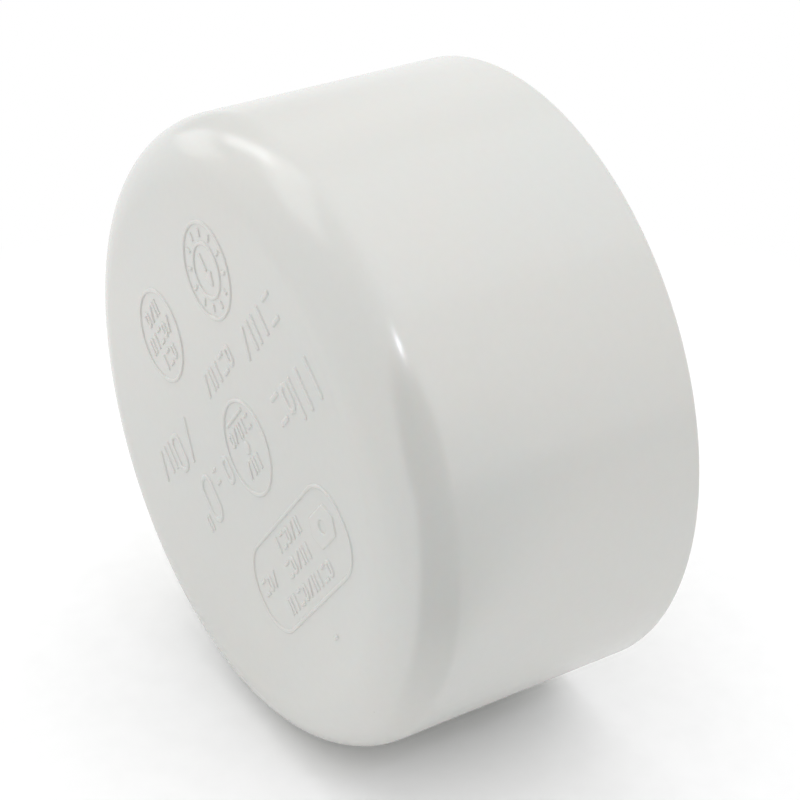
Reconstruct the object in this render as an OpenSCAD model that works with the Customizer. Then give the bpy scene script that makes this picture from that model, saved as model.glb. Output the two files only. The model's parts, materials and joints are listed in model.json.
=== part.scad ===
// Slip cap for 3 in (75 mm) PVC sewer and drain pipe, one moulding.
// Frame: the origin is the centre of the socket's bottom, where the end of the pipe stops.
// +Y points out of the mouth, so the closed face looks along -Y. +Z is up.
// Everything is drawn in the tool's own axes first, with +Z from the mouth to the closed face, and
// X right and Y up as seen from outside the closed face. seat() then turns it into the frame.

/* [Cap] */
// Outside diameter at the rim
outer_d = 89; // [87:0.5:92]
// Length from the rim to the closed face
height = 44.8; // [43.6:0.1:48]
// How much narrower the radius is at the closed face than at the rim, so that it leaves the mould
draft = 0.2; // [0:0.05:0.4]
// Radius of the round corner between the side and the closed face
corner_r = 8.3; // [6:0.1:9]
// Rounding of the rim's outer edge
rim_round_r = 0.5; // [0.3:0.1:0.8]

/* [Socket] */
// Bore of the socket, for pipe of 82.55 mm outside diameter
socket_d = 82.9; // [82.75:0.05:83.1]
// Depth from the rim to the pipe stop
socket_depth = 38; // [36:0.5:38.5]
// Width of the ledge that stops the pipe
ledge_w = 1.25; // [0.8:0.05:2]
// Thickness of the closed end
end_wall = 3.4; // [3:0.1:4]
// Height of the bevel that leads the pipe in
lead_in_h = 1.2; // [0.6:0.1:2]
// Width of the bevel that leads the pipe in
lead_in_w = 0.7; // [0.4:0.1:1]

/* [Marks] */
// Height of the raised marks above the closed face
mark_h = 0.2; // [0.1:0.05:0.4]
// Angle at which the lines of marks run across the face
mark_angle = 230; // [0:5:355]
// Width of a ring's or a frame's line
line_w = 0.45; // [0.3:0.05:0.7]
// Outer radius of the three ring badges
badge_r = 6.7; // [5.5:0.1:7]

/* [Hidden] */
$fn = 96;

pvc_white = [0.87, 0.87, 0.85];
outer_r = outer_d / 2;
socket_r = socket_d / 2;
pocket_r = socket_r - ledge_w;
pocket_depth = height - end_wall;
pocket_round_r = pocket_depth - socket_depth;
sunk = 0.4; // how far a mark reaches down into the end wall
past = 1; // how far a cutter runs past the surface that it cuts

// The outside wall leans in by this much for each millimetre of height
lean = draft / height;
lean_len = sqrt(1 + lean * lean);
corner_x = outer_r - lean * (height - corner_r) - corner_r * lean_len;
corner_z = height - corner_r;
tangent_x = corner_x + corner_r / lean_len;
tangent_z = corner_z + corner_r * lean / lean_len;

// A glyph's width, its pitch and its stroke, as shares of its height, and the widest stroke
glyph_w = 0.6;
glyph_pitch = 0.86;
stroke_w = 0.19;
stroke_max = 0.62;
loop_r = 0.47; // how round a loop glyph's corners are, as a share of its width

// Heights of the lines of glyphs
tall_h = 5.8;
medium_h = 4.1;
small_h = 2.3;

// Centres of the badges and the panel, in the marks' own axes
dial_at = [-17, -19];
rows_at = [5.4, -20];
gate_at = [-6.1, 2.3];
panel_at = [-7, 19.2];

// The date dial in the first badge
dial_ring_r = 3.9;
dial_ticks = 12;
dial_tick_in = 4.5;
dial_tick_len = 1.1;
pointer_h = 5;
pointer_w = 2.4;

// The stub that the gate leaves, and the bar under the marks beside it
gate_r = 0.9;
under_bar_w = 6.4;

// The framed panel, and the long hexagonal pad in it
panel_w = 33.5;
panel_h = 12.8;
panel_r = 5.8;
pad_w = 7.6;
pad_h = 4.4;
pad_hole_r = 0.95;

// From the tool's axes to the part's frame
module seat() {
    translate([0, socket_depth, 0]) rotate([90, 0, 0]) children();
}

// ---- The moulding, as half outlines that turn about its axis ----

module outer_outline() {
    polygon([[0, 0], [outer_r, 0], [tangent_x, tangent_z], [corner_x, height], [0, height]]);
    translate([corner_x, corner_z]) circle(corner_r);
}

// What the round on the rim's outer edge takes away
module rim_round_cut() {
    difference() {
        translate([outer_r - rim_round_r, -past]) square([rim_round_r + past, rim_round_r + past]);
        translate([outer_r - rim_round_r, rim_round_r]) circle(rim_round_r);
    }
}

// The socket down to its ledge, with the bevel at its mouth
module socket_outline() {
    translate([0, -past]) square([socket_r, socket_depth + past]);
    polygon([
        [0, -past], [socket_r + lead_in_w, -past], [socket_r + lead_in_w, 0],
        [socket_r, lead_in_h], [0, lead_in_h]
    ]);
}

// The shallow pocket past the ledge, with a round corner to the inner face
module pocket_outline() {
    flat_r = pocket_r - pocket_round_r;
    translate([0, socket_depth - past]) square([flat_r, pocket_round_r + past]);
    intersection() {
        translate([flat_r, socket_depth]) circle(pocket_round_r);
        translate([0, socket_depth]) square([pocket_r, pocket_round_r]);
    }
}

module moulding() {
    rotate_extrude() difference() {
        outer_outline();
        rim_round_cut();
        socket_outline();
        pocket_outline();
    }
}

// ---- Marks. They are plain shapes and spell nothing ----

module move(at) {
    translate([at[0], at[1]]) children();
}

module bar(w, h) {
    square([w, h]);
}

module ring(r, w) {
    difference() {
        circle(r);
        circle(r - w);
    }
}

// A slanted bar from the bottom left to the top right of a w by h cell
module slant(w, h, line) {
    polygon([[0, 0], [line, 0], [w, h], [w - line, h]]);
}

// A rectangle with round corners, about its own centre
module round_rect(w, h, r) {
    square([w - 2 * r, h], center = true);
    square([w, h - 2 * r], center = true);
    for (x = [-1, 1], y = [-1, 1]) {
        translate([x * (w / 2 - r), y * (h / 2 - r)]) circle(r);
    }
}

// An open frame with round corners, about its own centre
module round_frame(w, h, r, line) {
    difference() {
        round_rect(w, h, r);
        round_rect(w - 2 * line, h - 2 * line, r - line);
    }
}

// A hexagon that is stretched to w by h, with its points at the left and right
module long_hexagon(w, h) {
    side = w / 2 - h / 2 * tan(30);
    polygon([
        [-w / 2, 0], [-side, -h / 2], [side, -h / 2],
        [w / 2, 0], [side, h / 2], [-side, h / 2]
    ]);
}

// One glyph in its cell: kind 0 to 4 is a long loop, an upright, a slant, two level bars or two uprights
module glyph(kind, h) {
    w = glyph_w * h;
    line = min(stroke_w * h, stroke_max);
    if (kind == 0) {
        translate([w / 2, h / 2]) round_frame(w, h, loop_r * w, line);
    }
    if (kind == 1) {
        translate([w / 2 - line / 2, 0]) bar(line, h);
    }
    if (kind == 2) {
        slant(w, h, line);
    }
    if (kind == 3) {
        bar(w, line);
        translate([0, h - line]) bar(w, line);
    }
    if (kind == 4) {
        bar(line, h);
        translate([w - line, 0]) bar(line, h);
    }
}

// A line of n glyphs, h high, that starts at its lower left corner
module glyph_line(n, h, first) {
    for (i = [0 : n - 1]) {
        translate([i * glyph_pitch * h, 0]) glyph((first + 3 * i) % 5, h);
    }
}

// The same line, centred left to right, with its foot at y
module centred_line(n, h, first, y) {
    line_len = ((n - 1) * glyph_pitch + glyph_w) * h;
    translate([-line_len / 2, y]) glyph_line(n, h, first);
}

// A ring badge with a mould date dial: ticks round an inner ring, and a pointer
module dial_badge() {
    ring(badge_r, line_w);
    ring(dial_ring_r, line_w);
    for (i = [0 : dial_ticks - 1]) {
        rotate(i * 360 / dial_ticks) translate([dial_tick_in, -line_w / 2]) bar(dial_tick_len, line_w);
    }
    translate([-line_w / 2, -pointer_h / 2]) bar(line_w, pointer_h / 2);
    polygon([[-pointer_w / 2, pointer_h * 0.1], [pointer_w / 2, pointer_h * 0.1], [0, pointer_h / 2]]);
}

// A ring badge with three short lines of glyphs
module rows_badge() {
    ring(badge_r, line_w);
    centred_line(3, small_h, 0, 2.2);
    centred_line(5, small_h, 2, -small_h / 2);
    centred_line(3, small_h, 4, -2.2 - small_h);
}

// A ring badge round the gate's stub, with a line of glyphs above it and an underlined one below
module gate_badge() {
    ring(badge_r, line_w);
    circle(gate_r);
    centred_line(3, small_h, 1, 1.5);
    centred_line(5, small_h * 0.9, 3, -3.5);
    translate([-under_bar_w / 2, -4.7]) bar(under_bar_w, line_w);
}

// The framed panel: a plain pad with a hole, and four lines of glyphs
module panel() {
    round_frame(panel_w, panel_h, panel_r, line_w);
    move([-10.6, -1]) difference() {
        long_hexagon(pad_w, pad_h);
        circle(pad_hole_r);
    }
    move([-8.2, 2.5]) glyph_line(9, small_h, 0);
    move([-4.4, -1.4]) glyph_line(5, small_h, 1);
    move([-4.4, -5]) glyph_line(5, small_h, 4);
    move([9.2, -2.1]) glyph_line(3, small_h, 2);
}

// The lines of glyphs that stand between the badges, from the top down
module loose_lines() {
    move([-8.4, 30]) bar(1.4, line_w);
    move([-34.2, 0.8]) glyph_line(2, tall_h, 1);
    move([-25, 0.6]) glyph_line(2, medium_h, 0);
    move([1.5, 0]) glyph_line(1, medium_h, 0);
    move([6.6, 0]) glyph_line(1, small_h, 3);
    move([9.8, -0.7]) glyph_line(1, tall_h * 1.2, 0);
    move([15.2, 4]) glyph_line(1, small_h, 4);
    move([-30.8, -9.3]) glyph_line(4, medium_h, 3);
    move([-13.5, -10]) glyph_line(5, small_h * 1.3, 0);
    move([9.4, -9]) glyph_line(2, tall_h, 2);
    move([18.8, -9]) glyph_line(2, medium_h, 4);
}

module marks() {
    rotate(mark_angle) {
        move(dial_at) dial_badge();
        move(rows_at) rows_badge();
        move(gate_at) gate_badge();
        move(panel_at) panel();
        loose_lines();
    }
}

module cap_body() {
    color(pvc_white) seat() {
        moulding();
        translate([0, 0, height - sunk]) linear_extrude(sunk + mark_h) marks();
    }
}

cap_body();
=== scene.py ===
"""A white PVC pipe cap lying on its side, rebuilt in fine mesh round its CAD solid.

The cap's lengths are in millimetres until a vertex is made, and the room's are in metres. The frame is
the CAD's: +Y out of the socket's mouth, the closed face looks along -Y, +Z is up, and the origin is the
centre of the socket's bottom.
"""
import bpy
import bmesh
import json
import math
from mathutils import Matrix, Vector
from mathutils.geometry import delaunay_2d_cdt


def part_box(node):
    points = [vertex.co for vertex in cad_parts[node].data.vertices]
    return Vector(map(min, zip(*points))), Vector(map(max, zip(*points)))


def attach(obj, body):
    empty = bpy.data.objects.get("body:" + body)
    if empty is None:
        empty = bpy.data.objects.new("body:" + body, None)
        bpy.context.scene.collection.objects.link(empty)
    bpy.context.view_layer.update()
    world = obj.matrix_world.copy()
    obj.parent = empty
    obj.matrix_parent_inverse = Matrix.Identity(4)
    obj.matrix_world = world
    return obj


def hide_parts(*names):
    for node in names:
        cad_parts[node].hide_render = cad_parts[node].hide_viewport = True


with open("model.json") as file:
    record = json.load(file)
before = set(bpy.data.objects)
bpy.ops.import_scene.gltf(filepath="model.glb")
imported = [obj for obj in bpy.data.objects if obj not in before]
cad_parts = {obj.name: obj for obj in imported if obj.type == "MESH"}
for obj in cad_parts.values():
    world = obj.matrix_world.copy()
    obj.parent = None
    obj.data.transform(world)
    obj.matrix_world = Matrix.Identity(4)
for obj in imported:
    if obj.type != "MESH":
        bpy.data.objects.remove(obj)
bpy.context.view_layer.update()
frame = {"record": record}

MM = 0.001

# ---------------------------------------------------------------- camera

CAM_AZIMUTH = 57.8  # degrees, 0 looks along +Y
CAM_ELEVATION = 30.3
CAM_DISTANCE = 288.3
CAM_LENS = 93.2
CAM_RIGHT = 4.24  # how far the camera stands to the right of the cap's middle, and above it
CAM_ABOVE = 0.61


def direction(azimuth, elevation):
    """The unit vector from the cap towards a place in the room. Azimuth 0 is along -Y, and 90 along +X."""
    a, e = math.radians(azimuth), math.radians(elevation)
    return Vector((math.sin(a) * math.cos(e), -math.cos(a) * math.cos(e), math.sin(e)))


def make_camera(middle):
    """The photograph's view of the cap, with its closed face to the left."""
    back = direction(CAM_AZIMUTH, CAM_ELEVATION)
    right = direction(CAM_AZIMUTH + 90, 0)
    above = back.cross(right)
    data = bpy.data.cameras.new("camera")
    data.sensor_width = 36
    data.lens = CAM_LENS
    data.clip_start = 0.01
    cam = bpy.data.objects.new("camera", data)
    cam.location = middle + (back * CAM_DISTANCE + right * CAM_RIGHT + above * CAM_ABOVE) * MM
    cam.rotation_euler = (-back).to_track_quat("-Z", "Y").to_euler()
    bpy.context.collection.objects.link(cam)
    bpy.context.scene.camera = cam


low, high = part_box("cap_body")
make_camera((low + high) / 2)

# ---------------------------------------------------------------- sizes

# The outside, the socket and BEVEL_H come from the frame. The others aren't in it: they are written here as
# the CAD's source has them, except SOFT_R, which is this mesh's own.
socket = next(m for m in frame["record"]["mounts"] if m["name"] == "socket")
MARK_H = 0.2
OUTER_R = high.x / MM
RIM_Y = high.y / MM
MARK_Y = low.y / MM
FACE_Y = MARK_Y + MARK_H
SOCKET_R = socket["dims"]["r_mm"]
BEVEL_H = RIM_Y - socket["dims"]["length_mm"]
BEVEL_W = 0.7
DRAFT = 0.2
CORNER_R = 8.3
RIM_ROUND_R = 0.5
LEDGE_W = 1.25
END_WALL = 3.4
SOFT_R = 0.2  # the small rounding of every edge that the drawing shows sharp

SEGMENTS = 288  # round the cap's axis


def arc(x, y, r, start, end, steps):
    """Points along an arc about (x, y), from one angle to another, in degrees."""
    turn = [math.radians(start + (end - start) * i / steps) for i in range(steps + 1)]
    return [(x + r * math.cos(t), y + r * math.sin(t)) for t in turn]


def support(points, gap=0.06):
    """The same outline with a point just inside each end of every long stretch, so that flats shade flat."""
    out = [points[0]]
    for a, b in zip(points, points[1:]):
        length = math.dist(a, b)
        if length > 8 * gap:
            for share in (gap / length, 1 - gap / length):
                out.append((a[0] + (b[0] - a[0]) * share, a[1] + (b[1] - a[1]) * share))
        out.append(b)
    return out


def soften(corners, r, steps=4):
    """An outline with each of its inner corners replaced by an arc of radius r, tangent to both sides."""
    out = [corners[0]]
    for before, at, after in zip(corners, corners[1:], corners[2:]):
        a = (Vector(before) - Vector(at)).normalized()
        b = (Vector(after) - Vector(at)).normalized()
        half = a.angle(b) / 2
        middle = Vector(at) + (a + b).normalized() * (r / math.sin(half))
        start = Vector(at) + a * (r / math.tan(half)) - middle
        end = Vector(at) + b * (r / math.tan(half)) - middle
        sweep = start.angle_signed(end)
        for i in range(steps + 1):
            t = -sweep * i / steps
            turned = Vector((
                start.x * math.cos(t) - start.y * math.sin(t),
                start.x * math.sin(t) + start.y * math.cos(t),
            ))
            out.append(tuple(middle + turned))
    return out + [corners[-1]]


def outer_outline():
    """(radius, y) from the closed face's flat, round the corner and along the side to the rim's flat."""
    lean = DRAFT / (RIM_Y - FACE_Y)
    lean_angle = math.degrees(math.atan(lean))
    corner_y = FACE_Y + CORNER_R
    side_r = OUTER_R - lean * (RIM_Y - corner_y)
    corner_x = side_r - CORNER_R * math.hypot(1, lean)
    corner = arc(corner_x, corner_y, CORNER_R, -90, -lean_angle, 28)
    rim = arc(OUTER_R - RIM_ROUND_R, RIM_Y - RIM_ROUND_R, RIM_ROUND_R, -lean_angle, 90, 8)
    return corner + rim


def inner_outline():
    """(radius, y) from the rim's flat, down the socket to the ledge, and on to the inner face's middle."""
    rim_flat = 0.8
    straight = 0.1  # the share of the pocket's depth kept straight, beside the softened edge
    pocket_r = SOCKET_R - LEDGE_W
    inner_y = FACE_Y + END_WALL
    corners = [
        (SOCKET_R + BEVEL_W + rim_flat, RIM_Y),
        (SOCKET_R + BEVEL_W, RIM_Y),
        (SOCKET_R, RIM_Y - BEVEL_H),
        (SOCKET_R, 0),
        (pocket_r, 0),
        (pocket_r, inner_y * straight),
    ]
    pocket_round = -inner_y * (1 - straight)
    pocket = arc(pocket_r - pocket_round, inner_y * straight, pocket_round, 0, -90, 14)
    flat_r = pocket[-1][0]
    return soften(corners, SOFT_R)[:-1] + pocket + [(flat_r * s, inner_y) for s in (0.75, 0.5, 0.25)]


# ---------------------------------------------------------------- raised marks on the closed face

MARK_ANGLE = 230  # how the lines of marks run across the face, in degrees
LINE_W = 0.45
BADGE_R = 6.7
GLYPH_W = 0.6  # a glyph's width, its pitch and its stroke, as shares of its height
GLYPH_PITCH = 0.86
STROKE_W, STROKE_MAX = 0.19, 0.62
LOOP_R = 0.47
TALL_H, MEDIUM_H, SMALL_H = 5.8, 4.1, 2.3
DIAL_AT, ROWS_AT, GATE_AT, PANEL_AT = (-17, -19), (5.4, -20), (-6.1, 2.3), (-7, 19.2)

# A mark's edge, from the face up to its top: how far it stands out from the drawn outline, and its share of
# the mark's height. It rises steeply and rounds over to the top, like a bead.
EDGE_OUT, EDGE_IN, EDGE_STEPS = 0.10, -0.20, 9
EDGE_FOOT = 0.03  # the strip outside a mark that keeps the face flat right up to it
ROUND = [math.sqrt(1 - (1 - i / EDGE_STEPS) ** 2) for i in range(EDGE_STEPS + 1)]
EDGE = [(EDGE_OUT + (EDGE_IN - EDGE_OUT) * i / EDGE_STEPS, share) for i, share in enumerate(ROUND)]
EDGE.insert(0, (EDGE_OUT + EDGE_FOOT, 0))
SIDE_STEP = 1.1  # how far apart the points along a mark's straight side are, at most
MIN_ROUND = 0.02  # the smallest radius of a mark's sharp corner, which it has at its top


def softness(line):
    """How much of EDGE's run-out a mark takes: all of it on a broad one, and less on a thin line."""
    return min(1, 0.8 * line / LINE_W)


def corner_arc(before, at, after, r, grow):
    """The rounded corner of an outline at a point, pushed out by grow."""
    a = (Vector(at) - Vector(before)).normalized()
    b = (Vector(after) - Vector(at)).normalized()
    normal_a, normal_b = Vector((a.y, -a.x)), Vector((b.y, -b.x))
    miter = (normal_a + normal_b) / (1 + normal_a.dot(normal_b))
    middle = Vector(at) - miter * r
    start = math.degrees(math.atan2(normal_a.y, normal_a.x))
    sweep = math.degrees(normal_a.angle(normal_b))
    return arc(middle.x, middle.y, r + grow, start, start + sweep, 4 + int(2 * r))


def polygon_loop(points, soft=1.0, inward=False, r=None):
    """A convex polygon with round corners, as a function from an offset to its points. Inward is a hole."""
    round_r = r or MIN_ROUND + max(EDGE_OUT, -EDGE_IN) * soft
    around = list(zip(points[-1:] + points[:-1], points, points[1:] + points[:1]))

    def loop(offset):
        grow = -offset * soft if inward else offset * soft
        corners = [corner_arc(*three, round_r, grow) for three in around]
        out = []
        for corner, following in zip(corners, corners[1:] + corners[:1]):
            start, end = Vector(corner[-1]), Vector(following[0])
            # a straight side is as long at every offset, so it has as many points
            steps = int((end - start).length / SIDE_STEP + 0.001)
            out += corner + [tuple(start.lerp(end, (k + 1) / (steps + 1))) for k in range(steps)]
        return out

    return loop


def circle_loop(x, y, r, soft=1.0, inward=False):
    """A circle, as a function from an offset to its points. Inward is a hole."""
    steps = max(24, int(r * 16))

    def loop(offset):
        grow = -offset * soft if inward else offset * soft
        return arc(x, y, r + grow, 0, 360, steps)[:-1]

    return loop


def rect_points(x, y, w, h):
    return [(x, y), (x + w, y), (x + w, y + h), (x, y + h)]


def bar(x, y, w, h):
    return [polygon_loop(rect_points(x, y, w, h), softness(min(w, h)))]


def round_frame(x, y, w, h, r, line):
    """An open frame with round corners that fills a w by h cell."""
    hole = rect_points(x + line, y + line, w - 2 * line, h - 2 * line)
    soft = softness(line)
    outside = polygon_loop(rect_points(x, y, w, h), soft, r=r)
    return [outside, polygon_loop(hole, soft, inward=True, r=r - line)]


def ring(x, y, r):
    soft = softness(LINE_W)
    return [circle_loop(x, y, r, soft), circle_loop(x, y, r - LINE_W, soft, inward=True)]


def glyph(kind, x, y, h):
    """One glyph: kind 0 to 4 is a long loop, an upright, a slant, two level bars or two uprights."""
    w, line = GLYPH_W * h, min(STROKE_W * h, STROKE_MAX)
    if kind == 0:
        return round_frame(x, y, w, h, LOOP_R * w, line)
    if kind == 1:
        return bar(x + w / 2 - line / 2, y, line, h)
    if kind == 2:
        corners = [(x, y), (x + line, y), (x + w, y + h), (x + w - line, y + h)]
        return [polygon_loop(corners, softness(line * 0.9))]
    if kind == 3:
        return bar(x, y, w, line) + bar(x, y + h - line, w, line)
    return bar(x, y, line, h) + bar(x + w - line, y, line, h)


def glyph_line(at, n, h, first):
    """A line of n glyphs, h high, that starts at its lower left corner. They spell nothing."""
    loops = []
    for i in range(n):
        loops += glyph((first + 3 * i) % 5, at[0] + i * GLYPH_PITCH * h, at[1], h)
    return loops


def centred_line(at, n, h, first, y):
    length = ((n - 1) * GLYPH_PITCH + GLYPH_W) * h
    return glyph_line((at[0] - length / 2, at[1] + y), n, h, first)


def dial_badge(at):
    """A ring badge with a mould date dial: ticks round an inner ring, and a pointer."""
    x, y = at
    inner_r, half = 3.9, LINE_W / 2
    ticks, tick_start, tick_end = 12, 4.5, 5.6
    reach, head_w, head_y = 2.5, 2.4, 0.5  # the pointer's, from the dial's middle
    loops = ring(x, y, BADGE_R) + ring(x, y, inner_r)
    for i in range(ticks):
        t = math.radians(360 * i / ticks)
        along, across = Vector((math.cos(t), math.sin(t))), Vector((-math.sin(t), math.cos(t)))
        corners = [(tick_start, -half), (tick_end, -half), (tick_end, half), (tick_start, half)]
        tick = [tuple(Vector(at) + along * u + across * v) for u, v in corners]
        loops.append(polygon_loop(tick, softness(LINE_W)))
    loops += bar(x - half, y - reach, LINE_W, reach)
    head = [(x - head_w / 2, y + head_y), (x + head_w / 2, y + head_y), (x, y + reach)]
    loops.append(polygon_loop(head))
    return loops


def rows_badge(at):
    """A ring badge with three short lines of glyphs."""
    loops = ring(*at, BADGE_R)
    loops += centred_line(at, 3, SMALL_H, 0, 2.2)
    loops += centred_line(at, 5, SMALL_H, 2, -SMALL_H / 2)
    loops += centred_line(at, 3, SMALL_H, 4, -2.2 - SMALL_H)
    return loops


def gate_badge(at):
    """A ring badge round the gate's stub, with a line of glyphs above it and an underlined one below."""
    stub_r, under_w = 0.9, 6.4
    loops = ring(*at, BADGE_R) + [circle_loop(*at, stub_r)]
    loops += centred_line(at, 3, SMALL_H, 1, 1.5)
    loops += centred_line(at, 5, SMALL_H * 0.9, 3, -3.5)
    loops += bar(at[0] - under_w / 2, at[1] - 4.7, under_w, LINE_W)
    return loops


def panel(at):
    """The framed panel: a long hexagonal pad with a hole, and four lines of glyphs."""
    x, y = at
    w, h, r = 33.5, 12.8, 5.8
    pad_w, pad_h, pad_r, hole_r = 7.6, 4.4, 0.4, 0.95
    loops = round_frame(x - w / 2, y - h / 2, w, h, r, LINE_W)
    side = pad_w / 2 - pad_h / 2 * math.tan(math.radians(30))
    pad = [(-pad_w / 2, 0), (-side, -pad_h / 2), (side, -pad_h / 2)]
    pad += [(-px, -py) for px, py in pad]
    middle = (x - 10.6, y - 1)
    loops.append(polygon_loop([(middle[0] + px, middle[1] + py) for px, py in pad], r=pad_r))
    loops.append(circle_loop(*middle, hole_r, inward=True))
    loops += glyph_line((x - 8.2, y + 2.5), 9, SMALL_H, 0)
    loops += glyph_line((x - 4.4, y - 1.4), 5, SMALL_H, 1)
    loops += glyph_line((x - 4.4, y - 5), 5, SMALL_H, 4)
    loops += glyph_line((x + 9.2, y - 2.1), 3, SMALL_H, 2)
    return loops


def loose_lines():
    """The lines of glyphs that stand between the badges, from the top down."""
    loops = bar(-8.4, 30, 1.4, LINE_W)
    loops += glyph_line((-34.2, 0.8), 2, TALL_H, 1)
    loops += glyph_line((-25, 0.6), 2, MEDIUM_H, 0)
    loops += glyph_line((1.5, 0), 1, MEDIUM_H, 0)
    loops += glyph_line((6.6, 0), 1, SMALL_H, 3)
    loops += glyph_line((9.8, -0.7), 1, TALL_H * 1.2, 0)
    loops += glyph_line((15.2, 4), 1, SMALL_H, 4)
    loops += glyph_line((-30.8, -9.3), 4, MEDIUM_H, 3)
    loops += glyph_line((-13.5, -10), 5, SMALL_H * 1.3, 0)
    loops += glyph_line((9.4, -9), 2, TALL_H, 2)
    loops += glyph_line((18.8, -9), 2, MEDIUM_H, 4)
    return loops


def all_marks():
    return dial_badge(DIAL_AT) + rows_badge(ROWS_AT) + gate_badge(GATE_AT) + panel(PANEL_AT) + loose_lines()


# ---------------------------------------------------------------- mesh

GRID_PITCH, GRID_CLEAR = 2.4, 0.8  # of the points inside the closed face's flat
FLAT_GAP = 0.15  # between where the round corner ends and the outermost points of that flat
WELD = 2e-7  # how close points have to be to become one, in metres

def triangulate(loops, extra):
    """(points, triangles, and for each triangle how many of the loops hold it)."""
    points, faces = [], []
    for loop in loops:
        faces.append(list(range(len(points), len(points) + len(loop))))
        points += loop
    points += list(extra)
    verts, _, tris, _, _, inside = delaunay_2d_cdt([Vector(p) for p in points], [], faces, 1, 1e-5)
    return verts, tris, [len(set(held)) for held in inside]


def face_point(p, height):
    """A point of the marks' drawing on the closed face, or above it."""
    t = math.radians(MARK_ANGLE)
    x = p[0] * math.cos(t) - p[1] * math.sin(t)
    z = p[0] * math.sin(t) + p[1] * math.cos(t)
    return Vector((x, FACE_Y - height, z)) * MM


def spread(r, pitch, loops, clear):
    """Points of an even grid within radius r that keep clear of the loops, so that triangles stay short."""
    near = {}
    for loop in loops:
        for p in loop:
            near.setdefault((round(p[0] / clear), round(p[1] / clear)), []).append(p)
    out = []
    rows = int(r / pitch) + 1
    row_step = pitch * 0.866
    for j in range(-rows, rows + 1):
        for i in range(-rows, rows + 1):
            p = (pitch * (i + 0.5 * (j % 2)), row_step * j)
            if math.hypot(*p) > r - pitch * 0.5:
                continue
            u, v = round(p[0] / clear), round(p[1] / clear)
            cells = [(u + du, v + dv) for du in (-1, 0, 1) for dv in (-1, 0, 1)]
            if all(math.dist(p, q) > clear for cell in cells for q in near.get(cell, [])):
                out.append(p)
    return out


def fill(bm, loops, height=0.0, extra=()):
    """Flat triangles at a height above the closed face, wherever an odd number of loops hold them."""
    verts, tris, depth = triangulate(loops, extra)
    made = [bm.verts.new(face_point(v, height)) for v in verts]
    for tri, d in zip(tris, depth):
        if d % 2 == 1:
            bm.faces.new([made[i] for i in tri])


def add_closed_face(bm, edge_r):
    """The flat of the closed face, out to edge_r, with its marks raised on it."""
    marks = all_marks()
    foot = [m(EDGE[0][0]) for m in marks]
    top = [m(EDGE[-1][0]) for m in marks]
    border = arc(0, 0, edge_r, -MARK_ANGLE, 360 - MARK_ANGLE, SEGMENTS)[:-1]
    fill(bm, [border] + foot, extra=spread(edge_r, GRID_PITCH, foot, GRID_CLEAR))
    fill(bm, top, MARK_H)
    for mark in marks:
        levels = []
        for offset, share in EDGE:
            levels.append([bm.verts.new(face_point(p, MARK_H * share)) for p in mark(offset)])
        for lower, upper in zip(levels, levels[1:]):
            bridge(bm, lower, upper)


def bridge(bm, a, b):
    """A band of four-sided faces between two closed loops of vertices."""
    for i in range(len(a)):
        j = (i + 1) % len(a)
        bm.faces.new((a[i], a[j], b[j], b[i]))


def turned_ring(bm, r, y):
    """A ring of vertices round the cap's axis."""
    turns = [2 * math.pi * i / SEGMENTS for i in range(SEGMENTS)]
    return [bm.verts.new(Vector((r * math.cos(t), y, r * math.sin(t))) * MM) for t in turns]


def make_cap():
    """The whole moulding as one closed mesh."""
    outline = outer_outline()
    edge_r = outline[0][0] - FLAT_GAP
    outline = [(edge_r, FACE_Y)] + outline + inner_outline()
    bm = bmesh.new()
    add_closed_face(bm, edge_r)
    rings = [turned_ring(bm, r, y) for r, y in support(outline)]
    for a, b in zip(rings, rings[1:]):
        bridge(bm, a, b)
    pole = bm.verts.new((0, (FACE_Y + END_WALL) * MM, 0))
    last = rings[-1]
    for i in range(SEGMENTS):
        bm.faces.new((last[i], last[(i + 1) % SEGMENTS], pole))
    bmesh.ops.delete(bm, geom=[v for v in bm.verts if not v.link_faces], context="VERTS")
    bmesh.ops.remove_doubles(bm, verts=bm.verts[:], dist=WELD)
    bmesh.ops.recalc_face_normals(bm, faces=bm.faces[:])
    mesh = bpy.data.meshes.new("cap_moulding")
    bm.to_mesh(mesh)
    bm.free()
    mesh.shade_smooth()
    cap = bpy.data.objects.new("cap_moulding", mesh)
    bpy.context.collection.objects.link(cap)
    return cap


# ---------------------------------------------------------------- materials


class Nodes:
    """Short calls for building a node tree."""

    def __init__(self, material):
        material.use_nodes = True
        self.tree = material.node_tree
        self.tree.nodes.clear()

    def add(self, kind, inputs=None, **settings):
        node = self.tree.nodes.new(kind)
        for key, value in settings.items():
            setattr(node, key, value)
        for key, value in (inputs or {}).items():
            if isinstance(value, bpy.types.NodeSocket):
                self.tree.links.new(value, node.inputs[key])
            else:
                node.inputs[key].default_value = value
        return node

    def noise(self, place, scale, detail, roughness=0.5):
        made = self.add("ShaderNodeTexNoise", {
            "Vector": place, "Scale": scale, "Detail": detail, "Roughness": roughness,
        })
        return made.outputs["Fac"]

    def remap(self, value, low_in, high_in, low_out, high_out):
        made = self.add("ShaderNodeMapRange", {
            "Value": value, "From Min": low_in, "From Max": high_in, "To Min": low_out, "To Max": high_out,
        })
        return made.outputs["Result"]

    def math(self, operation, a, b):
        return self.add("ShaderNodeMath", {0: a, 1: b}, operation=operation).outputs[0]

    def mix(self, share, a, b):
        made = self.add("ShaderNodeMix", {0: share, 6: a, 7: b}, data_type="RGBA")
        return made.outputs[2]


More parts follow.
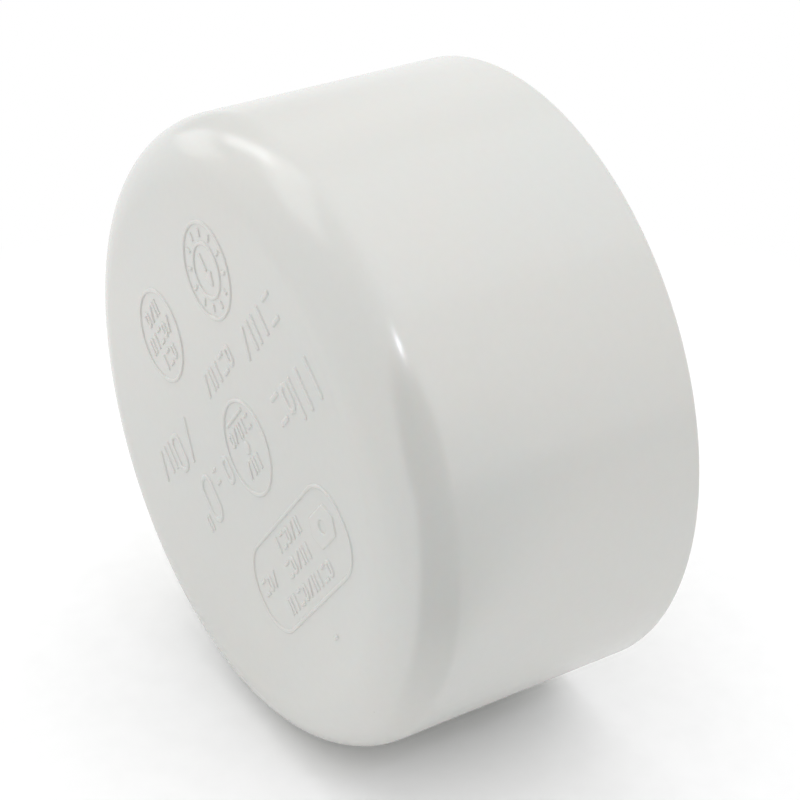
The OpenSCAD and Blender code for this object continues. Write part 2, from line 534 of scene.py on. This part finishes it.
def pvc_material():
    """Off-white moulded PVC: satin, a little mottled, with a few dark specks and a faint orange peel."""
    material = bpy.data.materials.new("pvc_satin_white")
    n = Nodes(material)
    place = n.add("ShaderNodeTexCoord").outputs["Object"]

    cloud = n.noise(place, 38, detail=4)
    grain = n.noise(place, 900, detail=2)
    warm, cool = (0.610, 0.606, 0.576, 1), (0.600, 0.607, 0.584, 1)
    dull, dirt = (0.54, 0.54, 0.51, 1), (0.26, 0.24, 0.21, 1)
    colour = n.mix(n.remap(cloud, 0.35, 0.65, 0, 1), warm, cool)
    colour = n.mix(n.remap(grain, 0.3, 0.7, 0, 0.10), colour, dull)

    cells = n.add("ShaderNodeTexVoronoi", {"Vector": place, "Scale": 260})
    rare = n.add("ShaderNodeSeparateColor", {"Color": cells.outputs["Color"]}).outputs[0]
    size = n.remap(rare, 0.975, 1.0, 0.0, 0.10)
    speck = n.math("LESS_THAN", cells.outputs["Distance"], size)
    colour = n.mix(n.math("MULTIPLY", speck, 0.55), colour, dirt)

    smudge = n.noise(place, 55, detail=5, roughness=0.6)
    roughness = n.remap(smudge, 0.3, 0.7, 0.17, 0.24)

    wave = n.noise(place, 60, detail=1)
    peel = n.noise(place, 1400, detail=2)
    wave_h, peel_h = 0.00006, 0.000003  # metres
    height = n.math("ADD", n.math("MULTIPLY", wave, wave_h), n.math("MULTIPLY", peel, peel_h))
    bump = n.add("ShaderNodeBump", {"Height": height, "Strength": 1.0, "Distance": 1.0})

    shader = n.add("ShaderNodeBsdfPrincipled", {
        "Base Color": colour, "Roughness": roughness, "Normal": bump.outputs["Normal"],
        "IOR": 1.54, "Specular IOR Level": 0.9,
        "Subsurface Weight": 0.12, "Subsurface Scale": 0.0008,
    })
    n.add("ShaderNodeOutputMaterial", {"Surface": shader.outputs[0]})
    return material


def floor_material():
    """A plain white table that fades into an even white away from the cap."""
    material = bpy.data.materials.new("floor_white")
    n = Nodes(material)
    place = n.add("ShaderNodeTexCoord").outputs["Object"]
    away = n.add("ShaderNodeVectorMath", {0: place}, operation="LENGTH").outputs["Value"]
    grain = n.noise(place, 220, detail=3)
    darker, lighter = (0.93, 0.93, 0.93, 1), (0.95, 0.95, 0.95, 1)
    tone = n.mix(n.remap(grain, 0.3, 0.7, 0, 1), darker, lighter)
    table = n.add("ShaderNodeBsdfDiffuse", {"Color": tone})
    far = n.add("ShaderNodeEmission", {"Color": (1, 1, 1, 1), "Strength": 1.0})
    both = n.add("ShaderNodeMixShader", {
        0: n.remap(away, *FLOOR_FADE, 0, 1), 1: table.outputs[0], 2: far.outputs[0],
    })
    n.add("ShaderNodeOutputMaterial", {"Surface": both.outputs[0]})
    return material


# ---------------------------------------------------------------- floor and light


# An AT is an azimuth and an elevation. Its EDGE is where a soft step starts and ends, in degrees from it.
# The patch's are a place and distances in metres.
ROOM_BRIGHT, ROOM_DIM = 1.08, 0.06
DIM_AT, DIM_EDGE = (81, 8), (40, 29)  # the photographer's side
ROOM_GLOW = 0.27
GLOW_AT, GLOW_EDGE = (142, 36), (64, 12)  # a brighter wall at the picture's right
SHADE_AT, SHADE_EDGE, SHADED = (-92, 12), (34, 15), 0.65  # a duller wall behind the cap and to its left
LIGHT_DISTANCE = 1.0
COOL = (0.86, 0.88, 1.0)
FLOOR_R = 6
FLOOR_FADE = (0.055, 0.16)  # how far from its middle the table starts to fade, and is all even white
# The wedge and the patch are painted shade: a black sheet on the floor that only reflections see. It paints
# a dark reflected band on the round corner and darker reflections of the floor beside the cap.
CARD_TIP = (0.025, 0)  # the black wedge's tip, and the middle of the card that it is on
CARD_R = 5
CARD_LIFT = 0.0015  # above the floor
CARD_AZIMUTH, CARD_EDGE = 87, (38, 25)  # the direction in which the wedge opens, and its soft edges
CARD_FADE = (0.004, 0.06)  # how far from its tip the wedge starts to show, and shows fully
PATCH_AT, PATCH_EDGE = (-0.070, -0.055, 0), (0.02, 0.08)  # from the wedge's tip, and from its own middle
PATCH_SHADE = 0.30


def make_floor():
    """A wide disc that the cap lies on."""
    bm = bmesh.new()
    bmesh.ops.create_circle(bm, cap_ends=True, segments=96, radius=FLOOR_R)
    mesh = bpy.data.meshes.new("floor")
    bm.to_mesh(mesh)
    bm.free()
    floor = bpy.data.objects.new("floor", mesh)
    floor.location = (0, (low.y + high.y) / 2, low.z)
    mesh.materials.append(floor_material())
    bpy.context.collection.objects.link(floor)


def make_softbox(name, azimuth, elevation, width, height, strength, tint=(1, 1, 1)):
    """An area light that faces the cap from that direction. Its width and height are in metres."""
    back = direction(azimuth, elevation)
    data = bpy.data.lights.new(name, "AREA")
    data.shape = "RECTANGLE"
    data.size, data.size_y = width, height
    data.energy = strength
    data.color = tint
    light = bpy.data.objects.new(name, data)
    light.location = (low + high) / 2 + back * LIGHT_DISTANCE
    light.rotation_euler = (-back).to_track_quat("-Z", "Y").to_euler()
    light.visible_camera = False
    bpy.context.collection.objects.link(light)


def fall_off(n, place, at, edge, start, end):
    """A soft step from start to end, between two angles in degrees from the direction at."""
    towards = n.add("ShaderNodeVectorMath", {0: place, 1: direction(*at)}, operation="DOT_PRODUCT")
    step = n.add("ShaderNodeMapRange", {
        "Value": towards.outputs["Value"], "To Min": start, "To Max": end,
        "From Min": math.cos(math.radians(edge[0])), "From Max": math.cos(math.radians(edge[1])),
    }, interpolation_type="SMOOTHSTEP")
    return step.outputs[0]


def make_room():
    """A room that the camera sees white everywhere, and the cap sees dim, glowing and shaded in places."""
    world = bpy.data.worlds.new("room")
    bpy.context.scene.world = world
    n = Nodes(world)
    place = n.add("ShaderNodeTexCoord").outputs["Generated"]
    strength = fall_off(n, place, DIM_AT, DIM_EDGE, ROOM_BRIGHT, ROOM_DIM)
    strength = n.math("MULTIPLY", strength, fall_off(n, place, SHADE_AT, SHADE_EDGE, 1, SHADED))
    strength = n.math("ADD", strength, fall_off(n, place, GLOW_AT, GLOW_EDGE, 0, ROOM_GLOW))
    seen = n.math("MULTIPLY", n.add("ShaderNodeLightPath").outputs["Is Camera Ray"], ROOM_BRIGHT)
    strength = n.math("MAXIMUM", strength, seen)
    room = n.add("ShaderNodeBackground", {"Color": (1, 1, 1, 1), "Strength": strength})
    n.add("ShaderNodeOutputWorld", {"Surface": room.outputs[0]})


def make_painted_reflection_shade():
    """Painted shade in reflections: a soft black wedge and a faint dark patch on the floor, which only
    reflections see. They darken a band of the round corner and the floor reflected beside the cap.
    """
    material = bpy.data.materials.new("card_black")
    n = Nodes(material)
    place = n.add("ShaderNodeTexCoord").outputs["Object"]
    away = n.add("ShaderNodeVectorMath", {0: place}, operation="NORMALIZE").outputs[0]
    far = n.add("ShaderNodeVectorMath", {0: place}, operation="LENGTH").outputs["Value"]
    shade = fall_off(n, away, (CARD_AZIMUTH, 0), CARD_EDGE, 0, 1)
    shade = n.math("MULTIPLY", shade, n.remap(far, *CARD_FADE, 0, 1))
    aside = n.add("ShaderNodeVectorMath", {0: place, 1: PATCH_AT}, operation="DISTANCE").outputs["Value"]
    shade = n.math("MAXIMUM", shade, n.remap(aside, *PATCH_EDGE, PATCH_SHADE, 0))
    clear = n.add("ShaderNodeBsdfTransparent")
    # the black is painted shade, which only reflections see
    reflected_shade = n.add("ShaderNodeBsdfDiffuse", {"Color": (0, 0, 0, 1)})
    both = n.add("ShaderNodeMixShader", {0: shade, 1: clear.outputs[0], 2: reflected_shade.outputs[0]})
    n.add("ShaderNodeOutputMaterial", {"Surface": both.outputs[0]})

    bm = bmesh.new()
    bmesh.ops.create_circle(bm, cap_ends=True, segments=96, radius=CARD_R)
    mesh = bpy.data.meshes.new("card")
    bm.to_mesh(mesh)
    bm.free()
    mesh.materials.append(material)
    card = bpy.data.objects.new("card", mesh)
    card.location = (*CARD_TIP, low.z + CARD_LIFT)
    card.visible_camera = card.visible_diffuse = card.visible_shadow = False
    bpy.context.collection.objects.link(card)


def make_light():
    """Softboxes overhead and at the back left, and a small lamp over the camera's right shoulder."""
    make_softbox("overhead", 180, 66, 1.0, 0.7, 0.45)
    make_softbox("left_high", -60, 60, 0.8, 0.5, 1.0)
    make_softbox("left_low", -76, 13, 0.44, 0.30, 0.38)
    make_softbox("left_window", -80, 39, 0.18, 0.42, 0.46)
    make_softbox("lamp", 92, 49, 0.05, 0.06, 0.38, COOL)


cap = make_cap()
cap.data.materials.append(pvc_material())
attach(cap, "root")
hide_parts("cap_body")
make_floor()
make_room()
make_painted_reflection_shade()
make_light()

bpy.context.scene.view_settings.view_transform = "Standard"
